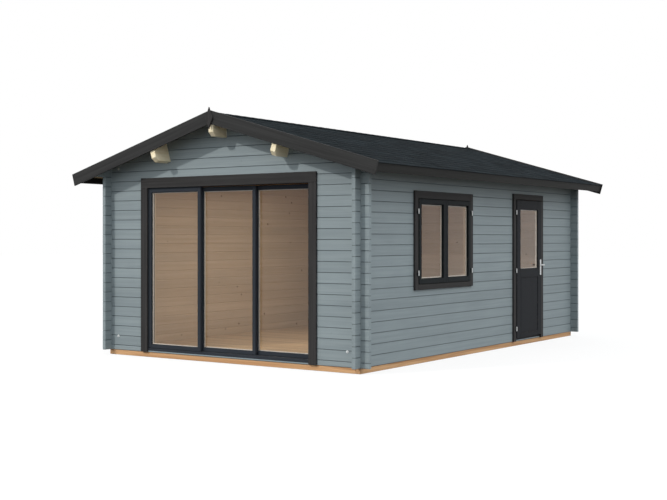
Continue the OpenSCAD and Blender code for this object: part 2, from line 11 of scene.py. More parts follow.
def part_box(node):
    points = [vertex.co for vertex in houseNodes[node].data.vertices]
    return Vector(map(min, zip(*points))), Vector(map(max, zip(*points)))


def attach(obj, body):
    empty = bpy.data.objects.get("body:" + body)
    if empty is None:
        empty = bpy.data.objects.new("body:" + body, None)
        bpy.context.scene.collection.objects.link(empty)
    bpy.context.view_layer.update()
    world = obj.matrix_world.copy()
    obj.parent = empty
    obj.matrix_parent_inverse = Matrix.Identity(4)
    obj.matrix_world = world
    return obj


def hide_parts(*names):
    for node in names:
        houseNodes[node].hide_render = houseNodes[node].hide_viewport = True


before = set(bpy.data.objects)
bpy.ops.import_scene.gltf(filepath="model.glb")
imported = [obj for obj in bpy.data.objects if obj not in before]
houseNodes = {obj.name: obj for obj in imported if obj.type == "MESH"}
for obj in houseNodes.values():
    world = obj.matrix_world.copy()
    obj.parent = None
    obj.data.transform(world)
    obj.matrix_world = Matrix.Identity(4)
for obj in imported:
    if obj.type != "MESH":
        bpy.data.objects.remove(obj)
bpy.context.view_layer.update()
dice = random.Random(11)


# view
view = {
    "place": (8.0021, -12.2745, 1.3901),
    "turn": 34.446,       # degrees away from looking along +Y
    "lens": 60.34,
    "shiftAcross": -0.00052,
    "shiftUp": -0.01832,
}
cameraData = bpy.data.cameras.new("viewCamera")
cameraData.sensor_width = 36
cameraData.lens = view["lens"]
cameraData.shift_x = view["shiftAcross"]
cameraData.shift_y = view["shiftUp"]
camera = bpy.data.objects.new("viewCamera", cameraData)
camera.location = view["place"]
camera.rotation_euler = (math.radians(90), 0, math.radians(view["turn"]))
bpy.context.scene.collection.objects.link(camera)
bpy.context.scene.camera = camera
bpy.context.scene.view_settings.view_transform = "Standard"
print("camera is set")


# node wiring, shared by all finishes
def put(tree, kind, choices=None, sockets=None):
    made = tree.nodes.new(kind)
    for name, value in (choices or {}).items():
        setattr(made, name, value)
    for name, value in (sockets or {}).items():
        socket = made.inputs[name]
        if isinstance(value, bpy.types.NodeSocket):
            tree.links.new(value, socket)
        else:
            socket.default_value = value
    return made


def calc(tree, operation, first, second=0.0, third=0.0):
    made = put(tree, "ShaderNodeMath", {"operation": operation},
               {0: first, 1: second, 2: third})
    return made.outputs[0]


def fade(tree, value, fromLow, fromHigh, toLow=0.0, toHigh=1.0):
    made = put(tree, "ShaderNodeMapRange", {"interpolation_type": "SMOOTHSTEP"},
               {"Value": value, "From Min": fromLow, "From Max": fromHigh,
                "To Min": toLow, "To Max": toHigh})
    return made.outputs[0]


def blendColour(tree, factor, first, second, how="MIX"):
    made = put(tree, "ShaderNodeMix", {"data_type": "RGBA", "blend_type": how},
               {0: factor, 6: first, 7: second})
    return made.outputs[2]


def noise(tree, vector, scale, detail=4.0, roughness=0.55, distortion=0.0):
    made = put(tree, "ShaderNodeTexNoise", None,
               {"Vector": vector, "Scale": scale, "Detail": detail,
                "Roughness": roughness, "Distortion": distortion})
    return made.outputs["Fac"]


def stretched(tree, vector, scale, offset=None):
    made = put(tree, "ShaderNodeMapping", None, {"Vector": vector, "Scale": scale})
    if offset is not None:
        tree.links.new(offset, made.inputs["Location"])
    return made.outputs["Vector"]


def srgb(red, green, blue):
    def toLinear(value):
        value /= 255
        return value / 12.92 if value <= 0.04045 else ((value + 0.055) / 1.055) ** 2.4
    return (toLinear(red), toLinear(green), toLinear(blue), 1.0)


def scaled(colour, factor):
    return tuple(min(1.0, part * factor) for part in colour[:3]) + (1.0,)


def faceValue(tree, name):
    return put(tree, "ShaderNodeAttribute", {"attribute_name": name}).outputs["Fac"]


def dimmed(tree, colour, level):
    grey = put(tree, "ShaderNodeCombineColor", None,
               {"Red": level, "Green": level, "Blue": level})
    return blendColour(tree, 1.0, colour, grey.outputs["Color"], "MULTIPLY")


def mixShaders(tree, factor, first, second):
    both = tree.nodes.new("ShaderNodeMixShader")
    for index, value in enumerate((factor, first.outputs[0], second.outputs[0])):
        tree.links.new(value, both.inputs[index])
    tree.links.new(both.outputs[0], tree.nodes["Material Output"].inputs["Surface"])


def newFinish(name, roughness=0.6):
    finish = bpy.data.materials.new(name)
    finish.use_nodes = True
    tree = finish.node_tree
    shader = tree.nodes["Principled BSDF"]
    shader.inputs["Roughness"].default_value = roughness
    place = tree.nodes.new("ShaderNodeTexCoord").outputs["Object"]
    return finish, tree, shader, place


def addBump(tree, shader, height, strength, distance):
    made = put(tree, "ShaderNodeBump", None,
               {"Height": height, "Strength": strength, "Distance": distance})
    tree.links.new(made.outputs["Normal"], shader.inputs["Normal"])


alongScale = {"X": (0.9, 38, 38), "Y": (38, 0.9, 38), "Z": (38, 38, 0.9)}
roofPitch = math.radians(16.3)


def alongSlope(tree, place):
    # height counted from the roof slope, so that grain runs down the boards
    axes = put(tree, "ShaderNodeSeparateXYZ", None, {"Vector": place})
    raised = calc(tree, "MULTIPLY_ADD", calc(tree, "ABSOLUTE", axes.outputs["X"]),
                  math.tan(roofPitch), axes.outputs["Z"])
    made = put(tree, "ShaderNodeCombineXYZ", None,
               {"X": axes.outputs["X"], "Y": axes.outputs["Y"], "Z": raised})
    return made.outputs["Vector"]


def knots(tree, place, perMetre, radius):
    cells = put(tree, "ShaderNodeTexVoronoi", None, {"Vector": place, "Scale": perMetre})
    return fade(tree, cells.outputs["Distance"], radius * perMetre * 0.35,
                radius * perMetre, 1.0, 0.0)


# painted logs outside, bare pine inside
logPaint = {
    "paint": srgb(140, 151, 154),
    "paintLow": srgb(130, 141, 145),
    # painted shade in the grooves between the logs
    "groove": srgb(78, 87, 92),
    "pine": srgb(216, 194, 164),
    "pineDark": srgb(200, 176, 143),
    "knot": srgb(112, 74, 46),
    "course": 0.114,
    "base": 0.060,
    "grooveFrom": 0.0015,
    "grooveTo": 0.0058,
    "grooveShare": 0.8,
    "knotRadius": 0.018,
    "knotsPerMetre": 5.4,
    "knotDim": 0.06,
    "toneLow": 0.95,
    "toneSpread": 0.10,   # from log to log
    "bumpDepth": 0.0016,
    "shine": 0.25,
    "insideX": 1.778,     # bare pine lies inside these distances from the middle
    "insideY": 2.728,
}


def logFinish(name, along, shift):
    finish, tree, shader, place = newFinish(name)
    shader.inputs["Specular IOR Level"].default_value = logPaint["shine"]
    axes = put(tree, "ShaderNodeSeparateXYZ", None, {"Vector": place})
    across = axes.outputs["X" if along == "Y" else "Y"]
    courses = calc(tree, "DIVIDE", calc(tree, "SUBTRACT", axes.outputs["Z"], logPaint["base"]),
                   logPaint["course"])
    courses = calc(tree, "ADD", courses, shift)
    number = calc(tree, "FLOOR", courses)
    seed = calc(tree, "MULTIPLY_ADD", calc(tree, "SIGN", across), 31.7, number)
    logTone = put(tree, "ShaderNodeTexWhiteNoise", {"noise_dimensions": "1D"}, {"W": seed})
    grain = noise(tree, stretched(tree, place, alongScale[along], logTone.outputs["Color"]),
                  1.0, 6, 0.62, 0.35)
    weather = noise(tree, stretched(tree, place, (1.3, 1.3, 2.2)), 1.0, 3)
    knotMask = knots(tree, place, logPaint["knotsPerMetre"], logPaint["knotRadius"])

    paint = blendColour(tree, fade(tree, grain, 0.3, 0.72), logPaint["paintLow"],
                        logPaint["paint"])
    toned = calc(tree, "MULTIPLY_ADD", logTone.outputs["Value"], logPaint["toneSpread"],
                 logPaint["toneLow"])
    toned = calc(tree, "MULTIPLY", toned, fade(tree, weather, 0.3, 0.7, 0.965, 1.03))
    knotLevel = calc(tree, "MULTIPLY_ADD", knotMask, -logPaint["knotDim"], 1.0)
    toned = calc(tree, "MULTIPLY", toned, knotLevel)
    paint = dimmed(tree, paint, toned)

    rings = noise(tree, stretched(tree, place, alongScale[along], logTone.outputs["Color"]),
                  0.42, 3, 0.5, 0.7)
    pine = blendColour(tree, fade(tree, rings, 0.25, 0.8), logPaint["pineDark"], logPaint["pine"])
    pine = blendColour(tree, calc(tree, "MULTIPLY", grain, 0.25), pine, logPaint["pineDark"])
    pine = dimmed(tree, pine, toned)
    pine = blendColour(tree, knotMask, pine, logPaint["knot"])

    within = [calc(tree, "LESS_THAN", calc(tree, "ABSOLUTE", axes.outputs[axis]),
                   logPaint["inside" + axis]) for axis in "XY"]
    inside = calc(tree, "MULTIPLY", within[0], within[1])
    colour = blendColour(tree, inside, paint, pine)

    # painted shade along each course line: darker towards the groove, on the paint and on the bare
    # pine
    part = calc(tree, "FRACT", courses)
    toLine = calc(tree, "MULTIPLY", calc(tree, "MINIMUM", part, calc(tree, "SUBTRACT", 1.0, part)),
                  logPaint["course"])
    groove = fade(tree, toLine, logPaint["grooveFrom"], logPaint["grooveTo"], 1.0, 0.0)
    shade = blendColour(tree, inside, logPaint["groove"], logPaint["pineDark"])
    groove = calc(tree, "MULTIPLY", groove, logPaint["grooveShare"])
    colour = blendColour(tree, groove, colour, shade)
    tree.links.new(colour, shader.inputs["Base Color"])

    gloss = calc(tree, "MULTIPLY_ADD", grain, 0.22, 0.45)
    tree.links.new(gloss, shader.inputs["Roughness"])
    height = calc(tree, "MULTIPLY_ADD", knotMask, 0.8, grain)
    addBump(tree, shader, height, 0.35, logPaint["bumpDepth"])
    return finish


gableLogs = logFinish("gableLogs", "X", 0.5)
sideLogs = logFinish("sideLogs", "Y", 0.0)


# bare and treated timber
timber = {
    "pineLight": srgb(219, 194, 152),
    "pineDark": srgb(181, 144, 98),
    "creamLight": srgb(253, 242, 212),
    "creamDark": srgb(247, 231, 193),
    "treatedLight": srgb(222, 177, 130),
    "treatedDark": srgb(180, 132, 88),
    "floorLight": srgb(212, 188, 152),
    "floorDark": srgb(180, 147, 107),
    "knot": srgb(98, 60, 34),
    "knotRadius": 0.016,
    "toneLow": 0.86,
    "toneSpread": 0.22,   # from board to board
    "wornDim": 0.12,
    "bumpDepth": 0.0014,
}


def timberFinish(name, along, light, dark, knotsPerMetre=4.6, gloss=0.55, sloped=False):
    finish, tree, shader, place = newFinish(name, gloss)
    if sloped:
        place = alongSlope(tree, place)
    toneOf, wornOf = faceValue(tree, "tone"), faceValue(tree, "worn")
    jump = calc(tree, "MULTIPLY", toneOf, 17.0)
    shifted = put(tree, "ShaderNodeCombineXYZ", None, {"X": jump, "Y": jump, "Z": jump})
    vector = stretched(tree, place, alongScale[along], shifted.outputs["Vector"])
    grain = noise(tree, vector, 1.0, 6, 0.62, 0.4)
    rings = noise(tree, vector, 0.4, 3, 0.5, 1.8)
    knotMask = knots(tree, place, knotsPerMetre, timber["knotRadius"])
    colour = blendColour(tree, fade(tree, rings, 0.33, 0.7), dark, light)
    colour = blendColour(tree, calc(tree, "MULTIPLY", grain, 0.4), colour, dark)
    level = calc(tree, "MULTIPLY_ADD", toneOf, timber["toneSpread"], timber["toneLow"])
    level = calc(tree, "MULTIPLY_ADD", wornOf, -timber["wornDim"], level)
    colour = blendColour(tree, knotMask, dimmed(tree, colour, level), timber["knot"])
    tree.links.new(colour, shader.inputs["Base Color"])
    tree.links.new(calc(tree, "MULTIPLY_ADD", grain, 0.25, gloss - 0.12),
                   shader.inputs["Roughness"])
    height = calc(tree, "MULTIPLY_ADD", knotMask, 0.6, grain)
    addBump(tree, shader, height, 0.4, timber["bumpDepth"])
    return finish


purlinPine = timberFinish("purlinPine", "Y", timber["creamLight"], timber["creamDark"], 3.2)
ceilingPine = timberFinish("ceilingPine", "X", timber["pineLight"], timber["pineDark"],
                           sloped=True)
floorPine = timberFinish("floorPine", "X", timber["floorLight"], timber["floorDark"], 3.8, 0.45)
beamSide = timberFinish("beamSide", "Y", timber["treatedLight"], timber["treatedDark"], 3.0, 0.7)
beamEnd = timberFinish("beamEnd", "X", timber["treatedLight"], timber["treatedDark"], 3.0, 0.7)


# dark paint on boards, sashes and the door
darkPaint = {
    "trim": srgb(57, 56, 56),
    "barge": srgb(54, 54, 54),
    "fascia": srgb(48, 48, 47),
    "sash": srgb(31, 35, 37),
    "door": srgb(31, 33, 37),
    "patio": srgb(50, 54, 60),
    "bare": srgb(112, 104, 96),
    "roomFront": -2.640,   # bare pine lies behind this depth in the patio frame
    "roomSide": 1.790,     # and inside this one in the window frame
    "lighter": 1.22,
    "deeper": 0.84,
    "patioLighter": 1.25,
    "rubbedShare": 0.45,   # bare wood on worn edges
    "bumpDepth": 0.001,
    "patioBumpDepth": 0.0004,
    "shine": 0.03,         # specular level, low as on a matt coat
}


# the given colour outside, bare pine past a limit on the room side
def roomPine(tree, place, shown, axis, limit):
    depth = put(tree, "ShaderNodeSeparateXYZ", None, {"Vector": place}).outputs[axis]
    room = calc(tree, "GREATER_THAN" if axis == "Y" else "LESS_THAN", depth, limit)
    grain = noise(tree, stretched(tree, place, alongScale["Z"]), 1.0, 5, 0.6, 0.3)
    pine = blendColour(tree, grain, logPaint["pine"], logPaint["pineDark"])
    return blendColour(tree, room, shown, pine)


def darkFinish(name, along, colour, gloss, grainDepth, sloped=False, lined=False):
    finish, tree, shader, place = newFinish(name, gloss)
    if sloped:
        place = alongSlope(tree, place)
    shader.inputs["Specular IOR Level"].default_value = darkPaint["shine"]
    wornOf = faceValue(tree, "worn")
    vector = stretched(tree, place, alongScale[along])
    grain = noise(tree, vector, 1.2, 6, 0.6, 0.3)
    patches = noise(tree, place, 3.5, 3)
    lighter = scaled(colour, darkPaint["lighter"])
    deeper = scaled(colour, darkPaint["deeper"])
    shown = blendColour(tree, fade(tree, grain, 0.3, 0.72), deeper, lighter)
    shown = blendColour(tree, fade(tree, patches, 0.45, 0.8, 0.0, 0.35), shown, lighter)
    rubbed = calc(tree, "MULTIPLY", wornOf, fade(tree, noise(tree, place, 24.0, 3), 0.5, 0.75))
    rubbed = calc(tree, "MULTIPLY", rubbed, darkPaint["rubbedShare"])
    shown = blendColour(tree, rubbed, shown, darkPaint["bare"])
    if lined:
        shown = roomPine(tree, place, shown, "X", darkPaint["roomSide"])
    tree.links.new(shown, shader.inputs["Base Color"])
    tree.links.new(calc(tree, "MULTIPLY_ADD", grain, 0.2, gloss - 0.1),
                   shader.inputs["Roughness"])
    addBump(tree, shader, grain, grainDepth, darkPaint["bumpDepth"])
    return finish


trimUpright = darkFinish("trimUpright", "Z", darkPaint["trim"], 0.5, 0.35)
trimAcrossX = darkFinish("trimAcrossX", "X", darkPaint["trim"], 0.5, 0.35)
trimAcrossY = darkFinish("trimAcrossY", "Y", darkPaint["trim"], 0.5, 0.35)
bargePaint = darkFinish("bargePaint", "X", darkPaint["barge"], 0.5, 0.25, sloped=True)
fasciaPaint = darkFinish("fasciaPaint", "Y", darkPaint["fascia"], 0.5, 0.25)
sashUpright = darkFinish("sashUpright", "Z", darkPaint["sash"], 0.42, 0.25)
sashAcross = darkFinish("sashAcross", "Y", darkPaint["sash"], 0.42, 0.25)
frameUpright = darkFinish("frameUpright", "Z", darkPaint["sash"], 0.42, 0.25, lined=True)
frameAcross = darkFinish("frameAcross", "Y", darkPaint["sash"], 0.42, 0.25, lined=True)
doorUpright = darkFinish("doorUpright", "Z", darkPaint["door"], 0.42, 0.25)
doorAcross = darkFinish("doorAcross", "Y", darkPaint["door"], 0.42, 0.25)


def patioFinish(name, lined=False):
    finish, tree, shader, place = newFinish(name, 0.4)
    shader.inputs["Specular IOR Level"].default_value = 0.0 if lined else darkPaint["shine"]
    wornOf = faceValue(tree, "worn")
    speckle = noise(tree, place, 620.0, 2)
    cloud = noise(tree, place, 2.5, 3)
    base = darkPaint["patio"]
    lighter = scaled(base, darkPaint["patioLighter"])
    shown = blendColour(tree, fade(tree, cloud, 0.3, 0.75, 0.0, 0.5), base, lighter)
    shown = blendColour(tree, calc(tree, "MULTIPLY", wornOf, 0.35), shown, lighter)
    if lined:
        shown = roomPine(tree, place, shown, "Y", darkPaint["roomFront"])
    tree.links.new(shown, shader.inputs["Base Color"])
    tree.links.new(calc(tree, "MULTIPLY_ADD", speckle, 0.16, 0.34), shader.inputs["Roughness"])
    addBump(tree, shader, speckle, 0.25, darkPaint["patioBumpDepth"])
    return finish


patioCoat = patioFinish("patioCoat")
patioLined = patioFinish("patioLined", lined=True)


# bitumen shingles
felt = {
    "stone": srgb(27, 33, 36),
    "light": srgb(42, 50, 55),
    "dark": srgb(18, 22, 25),
    "granulesPerMetre": 420.0,
    "shine": 0.02,
}


def shingleFinish(name):
    finish, tree, shader, place = newFinish(name, 0.9)
    shader.inputs["Specular IOR Level"].default_value = felt["shine"]
    toneOf, wornOf = faceValue(tree, "tone"), faceValue(tree, "worn")
    cells = put(tree, "ShaderNodeTexVoronoi", None,
                {"Vector": place, "Scale": felt["granulesPerMetre"]})
    granules = put(tree, "ShaderNodeSeparateColor", None, {"Color": cells.outputs["Color"]})
    streaks = noise(tree, stretched(tree, place, (1.0, 3.4, 1.0)), 2.2, 5, 0.6)
    shown = blendColour(tree, fade(tree, toneOf, 0.1, 0.95), felt["dark"], felt["stone"])
    shown = blendColour(tree, fade(tree, granules.outputs["Red"], 0.55, 1.0, 0.0, 0.6),
                        shown, felt["light"])
    shown = blendColour(tree, fade(tree, streaks, 0.42, 0.78, 0.0, 0.5), shown, felt["light"])
    shown = blendColour(tree, calc(tree, "MULTIPLY", wornOf, 0.5), shown, felt["dark"])
    tree.links.new(shown, shader.inputs["Base Color"])
    tree.links.new(calc(tree, "MULTIPLY_ADD", granules.outputs["Green"], 0.2, 0.76),
                   shader.inputs["Roughness"])
    addBump(tree, shader, cells.outputs["Distance"], 0.5, 0.002)
    return finish


shingleStone = shingleFinish("shingleStone")


# glass, steel and small parts
glassLook = {
    "tint": (0.93, 0.92, 0.91, 1.0),
    "film": (0.84, 0.82, 0.80, 1.0),    # what lamp light keeps on its way through
    "patioDensity": 1.36,
    "sideDensity": 1.26,
}


def glassFinish(name, density):
    finish, tree, shader, place = newFinish(name, 0.0)
    shader.inputs["Base Color"].default_value = glassLook["tint"]
    shader.inputs["Transmission Weight"].default_value = 1.0
    shader.inputs["IOR"].default_value = density
    waves = noise(tree, place, 2.4, 1)
    addBump(tree, shader, waves, 0.04, 0.01)
    path = tree.nodes.new("ShaderNodeLightPath")
    lampRay = calc(tree, "MAXIMUM", path.outputs["Is Shadow Ray"], path.outputs["Is Diffuse Ray"])
    clear = put(tree, "ShaderNodeBsdfTransparent", None, {"Color": glassLook["film"]})
    mixShaders(tree, lampRay, shader, clear)
    return finish


def steelFinish(name, colour, along, metal, gloss=0.3):
    finish, tree, shader, place = newFinish(name, gloss)
    shader.inputs["Metallic"].default_value = metal
    vector = stretched(tree, place, tuple(part * 22 for part in alongScale[along]))
    brushed = noise(tree, vector, 1.0, 3)
    spots = noise(tree, place, 60.0, 3)
    shown = blendColour(tree, fade(tree, spots, 0.35, 0.75), colour, scaled(colour, 0.78))
    tree.links.new(shown, shader.inputs["Base Color"])
    tree.links.new(calc(tree, "MULTIPLY_ADD", brushed, 0.25, gloss - 0.1),
                   shader.inputs["Roughness"])
    addBump(tree, shader, brushed, 0.2, 0.0003)
    return finish


patioGlass = glassFinish("patioGlass", glassLook["patioDensity"])
sideGlass = glassFinish("sideGlass", glassLook["sideDensity"])
satinSteel = steelFinish("satinSteel", srgb(216, 217, 217), "Z", 0.35)
railSteel = steelFinish("railSteel", srgb(66, 69, 74), "X", 0.6, 0.45)
boltCap = steelFinish("boltCap", srgb(228, 230, 230), "Z", 0.0, 0.45)
paneBead = steelFinish("paneBead", srgb(236, 230, 220), "Z", 0.0, 0.6)
print("finishes are made")


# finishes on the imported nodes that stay
nodeFinishes = (
    (gableLogs, ["front_wall_left", "front_wall_right", "front_gable", "rear_wall"]),
    (sideLogs, ["left_wall", "right_wall_low", "right_wall_front", "right_wall_middle",
                "right_wall_rear", "right_lintel_log", "right_wall_high", "eaves_logs",
                "door_sill_logs"]),
    (beamSide, ["floor_joists"]),
    (patioGlass, ["patio_glass_left", "patio_glass_middle", "patio_glass_right"]),
    (sideGlass, ["window_glass", "side_door_glass"]),
)
for finish, names in nodeFinishes:
    for name in names:
        mesh = houseNodes[name].data
        mesh.materials.clear()
        mesh.materials.append(finish)
print("walls, joists and panes have their finishes")


# making of boards and other parts
scratchMesh = bpy.data.meshes.new("scratchMesh")


def newPart():
    part = bmesh.new()
    part.faces.layers.float.new("tone")
    part.faces.layers.float.new("worn")
    return part


def easeEdges(part, ease, segments=1, sharpest=0.5):
    sharp = [e for e in part.edges if len(e.link_faces) == 2 and e.calc_face_angle() > sharpest]
    made = bmesh.ops.bevel(part, geom=sharp, offset=ease, offset_type="OFFSET", affect="EDGES",
                           segments=segments, profile=0.5, material=-1, clamp_overlap=True)
    worn = part.faces.layers.float["worn"]
    for face in made["faces"]:
        face[worn] = 1.0


def joinPart(whole, part, place=None, tone=None, finish=0):
    toneLayer = part.faces.layers.float["tone"]
    tone = dice.uniform(0.1, 1.0) if tone is None else tone
    for face in part.faces:
        face[toneLayer] = tone
        face.material_index = finish
    if place is not None:
        bmesh.ops.transform(part, matrix=place, verts=part.verts)
    part.to_mesh(scratchMesh)
    part.free()
    whole.from_mesh(scratchMesh)


def boxPart(low, high):
    low, high = Vector(low), Vector(high)
    part = newPart()
    bmesh.ops.create_cube(part, size=1, matrix=Matrix.Translation((low + high) / 2)
                          @ Matrix.Diagonal((*(high - low), 1)))
    return part


def addBoard(whole, low, high, ease, place=None, tone=None, finish=0):
    board = boxPart(low, high)
    easeEdges(board, ease)
    joinPart(whole, board, place, tone, finish)


def finishPiece(name, whole, finishes, body, replaced=()):
    mesh = bpy.data.meshes.new(name)
    whole.to_mesh(mesh)
    whole.free()
    piece = bpy.data.objects.new(name, mesh)
    bpy.context.scene.collection.objects.link(piece)
    for finish in finishes:
        mesh.materials.append(finish)
    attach(piece, body)
    if replaced:
        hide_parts(*replaced)


# roof: boards, shingle courses and ridge pieces
roof = {
    "boardThick": 0.019,
    "boardWidth": 0.094,
    "boardEase": 0.003,
    "boardGap": 0.0003,      # on each side of a joint
    "layer": 0.024,          # boards and shingles together
    "bedThick": 0.0012,
    "bedShort": 0.004,
    "bedTone": 0.15,
    "exposure": 0.149,
    "headLap": 0.03,
    "tabWidth": 0.331,
    "tabLeast": 0.03,
    "tabEase": 0.0009,
    "tabUnder": 0.0008,      # a tab's underside over the bed
    "tabTop": 0.0006,        # its top below the roofing's
    "slot": 0.008,
    "butt": 0.0025,
    "buttSpread": 0.002,
    "thickSpread": 0.0006,
    "ridgeStep": 0.150,
    "ridgeHalf": 0.120,
    "ridgeLap": 0.035,
    "ridgeThick": 0.0030,
    "ridgeRound": 0.012,     # half width of the rounded top
    "ridgeCrown": 0.004,
    "ridgeTilt": 0.0034,
    "ridgeEase": 0.0006,
}
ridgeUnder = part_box("ridge_purlin")[1].z
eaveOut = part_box("roofing_right")[1].x
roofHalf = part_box("roofing_right")[1].y
pitchSin, pitchCos = math.sin(roofPitch), math.cos(roofPitch)
eaveRun = (eaveOut - roof["layer"] * pitchSin) / pitchCos
boardRun = (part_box("roof_boards_right")[1].x - roof["boardThick"] * pitchSin) / pitchCos


def onSlope(side):
    turn = Matrix.Rotation(0 if side == "right" else math.pi, 4, "Z")
    return turn @ Matrix.Translation((0, 0, ridgeUnder)) @ Matrix.Rotation(roofPitch, 4, "Y")


def layRoofBoards(side):
    whole = newPart()
    count = round(2 * roofHalf / roof["boardWidth"])
    step = 2 * roofHalf / count
    for k in range(count):
        start = -roofHalf + k * step
        addBoard(whole, (0.0005, start + roof["boardGap"], 0.0002),
                 (boardRun, start + step - roof["boardGap"], roof["boardThick"]),
                 roof["boardEase"], onSlope(side))
    finishPiece("roofBoards" + side.capitalize(), whole, [ceilingPine], "house",
                ["roof_boards_" + side])


def shingleTab(low, high, drop):
    tab = boxPart(low, high)
    middle = (low[0] + high[0]) / 2
    upper = [v for v in tab.verts if v.co.x < middle and v.co.z > high[2] - 1e-5]
    bmesh.ops.translate(tab, verts=upper, vec=(0, 0, -drop))
    easeEdges(tab, roof["tabEase"])
    return tab


def layShingles(side):
    whole = newPart()
    place = onSlope(side)
    bed = roof["boardThick"] + 0.0003
    tabHigh = roof["layer"] - roof["tabTop"]
    addBoard(whole, (0, -roofHalf, bed),
             (eaveRun - roof["bedShort"], roofHalf, bed + roof["bedThick"]), 0.0004,
             place, roof["bedTone"])
    courses = math.ceil(eaveRun / roof["exposure"])
    for row in range(courses):
        butt = eaveRun - row * roof["exposure"]
        head = max(0.0, butt - roof["exposure"] - roof["headLap"])
        share = (butt - head) / (roof["exposure"] + roof["headLap"])
        drop = (roof["butt"] + roof["tabTop"]) * share
        y = -roofHalf - (row % 2) * roof["tabWidth"] / 2
        while y < roofHalf - 0.01:
            left = max(y, -roofHalf)
            right = min(y + roof["tabWidth"], roofHalf)
            if right - left > roof["tabLeast"]:
                thick = dice.uniform(0.0, roof["thickSpread"])
                short = dice.uniform(0, roof["buttSpread"])
                tab = shingleTab((head, left + roof["slot"] / 2, bed + roof["tabUnder"]),
                                 (butt - short, right - roof["slot"] / 2, tabHigh + thick),
                                 drop)
                joinPart(whole, tab, place)
            y += roof["tabWidth"]
    finishPiece("shingles" + side.capitalize(), whole, [shingleStone], "house",
                ["roofing_" + side])


def layRidge():
    whole = newPart()
    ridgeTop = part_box("ridge_cap")[1].z
    half = roof["ridgeHalf"] * pitchCos
    crown = roof["ridgeRound"]
    count = round(2 * roofHalf / roof["ridgeStep"])
    step = 2 * roofHalf / count
    for k in range(count):
        cap = newPart()
        long = step if k == 0 else step + roof["ridgeLap"]
        bmesh.ops.create_grid(cap, x_segments=6, y_segments=1, size=0.5,
                              matrix=Matrix.Diagonal((2 * half, long, 1, 1)))
        for v in cap.verts:
            across = abs(v.co.x)
            fall = max(across - crown, 0) + roof["ridgeCrown"] * (1 - min(across / crown, 1))
            v.co.z = -fall * math.tan(roofPitch)
        bmesh.ops.recalc_face_normals(cap, faces=cap.faces)
        bmesh.ops.solidify(cap, geom=cap.faces, thickness=roof["ridgeThick"])
        bmesh.ops.recalc_face_normals(cap, faces=cap.faces)
        easeEdges(cap, roof["ridgeEase"], 1, 0.9)
        tilt = Matrix.Rotation(-math.atan2(roof["ridgeTilt"], long), 4, "X")
        y = -roofHalf + k * step + step - long / 2
        joinPart(whole, cap, Matrix.Translation((0, y, ridgeTop - 0.0005)) @ tilt)
    finishPiece("ridgePieces", whole, [shingleStone], "house", ["ridge_cap"])


for side in ("left", "right"):
    layRoofBoards(side)
    layShingles(side)
layRidge()
print("roof is laid")


# floor boards, cut round the sill and the threshold
floorPlan = {"boardWidth": 0.113, "ease": 0.0018, "joint": 0.0006, "clear": 0.0005}


def layFloor():
    whole = newPart()
    low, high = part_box("floor")
    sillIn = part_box("patio_sill")[1].y + floorPlan["clear"]
    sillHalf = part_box("patio_sill")[1].x + floorPlan["clear"]
    stepLow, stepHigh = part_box("door_threshold")
    for sign in (-1, 1):
        ends = sorted((sign * sillHalf, sign * high.x))
        addBoard(whole, (ends[0], low.y, low.z), (ends[1], sillIn - floorPlan["joint"], high.z),
                 floorPlan["ease"])
    count = round((high.y - sillIn) / floorPlan["boardWidth"])
    step = (high.y - sillIn) / count
    for k in range(count):
        start = sillIn + k * step
        atDoor = start < stepHigh.y and start + step > stepLow.y
        end = stepLow.x - floorPlan["clear"] if atDoor else high.x
        addBoard(whole, (low.x, start + floorPlan["joint"] / 2, low.z),
                 (end, start + step - floorPlan["joint"] / 2, high.z), floorPlan["ease"])
    finishPiece("floorBoards", whole, [floorPine], "house", ["floor"])


layFloor()
print("floor is laid")


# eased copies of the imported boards, which keep their shape
def lowCorner(group):
    points = [v.co for face in group for v in face.verts]
    return [round(min(point[axis] for point in points), 4) for axis in range(3)]


def islands(part):
    found, left = [], set(part.faces)
    while left:
        group, edge = set(), [left.pop()]
        while edge:
            face = edge.pop()
            group.add(face)
            for near in (f for e in face.edges for f in e.link_faces if f in left):
                left.discard(near)
                edge.append(near)
        found.append(group)
    return sorted(found, key=lowCorner)    # a set has no order of its own


def easedCopy(nodeName, pieceName, finish, ease, body="house", barrels=()):
    whole = newPart()
    whole.from_mesh(houseNodes[nodeName].data)
    bmesh.ops.remove_doubles(whole, verts=whole.verts, dist=0.00002)
    bmesh.ops.dissolve_limit(whole, angle_limit=0.02, verts=whole.verts, edges=whole.edges)
    easeEdges(whole, ease)
    tone = whole.faces.layers.float["tone"]
    for group in islands(whole):
        level = dice.uniform(0.2, 1.0)
        for face in group:
            face[tone] = level
            face.smooth = False
    for face in whole.faces if barrels else ():
        middle = face.calc_center_median().xy
        if min((middle - Vector(axis)).length for axis in barrels) > hingeLook["barrel"]:
            face.material_index = 1
    finishes = [finish, sashUpright] if barrels else [finish]
    finishPiece(pieceName, whole, finishes, body, [nodeName])


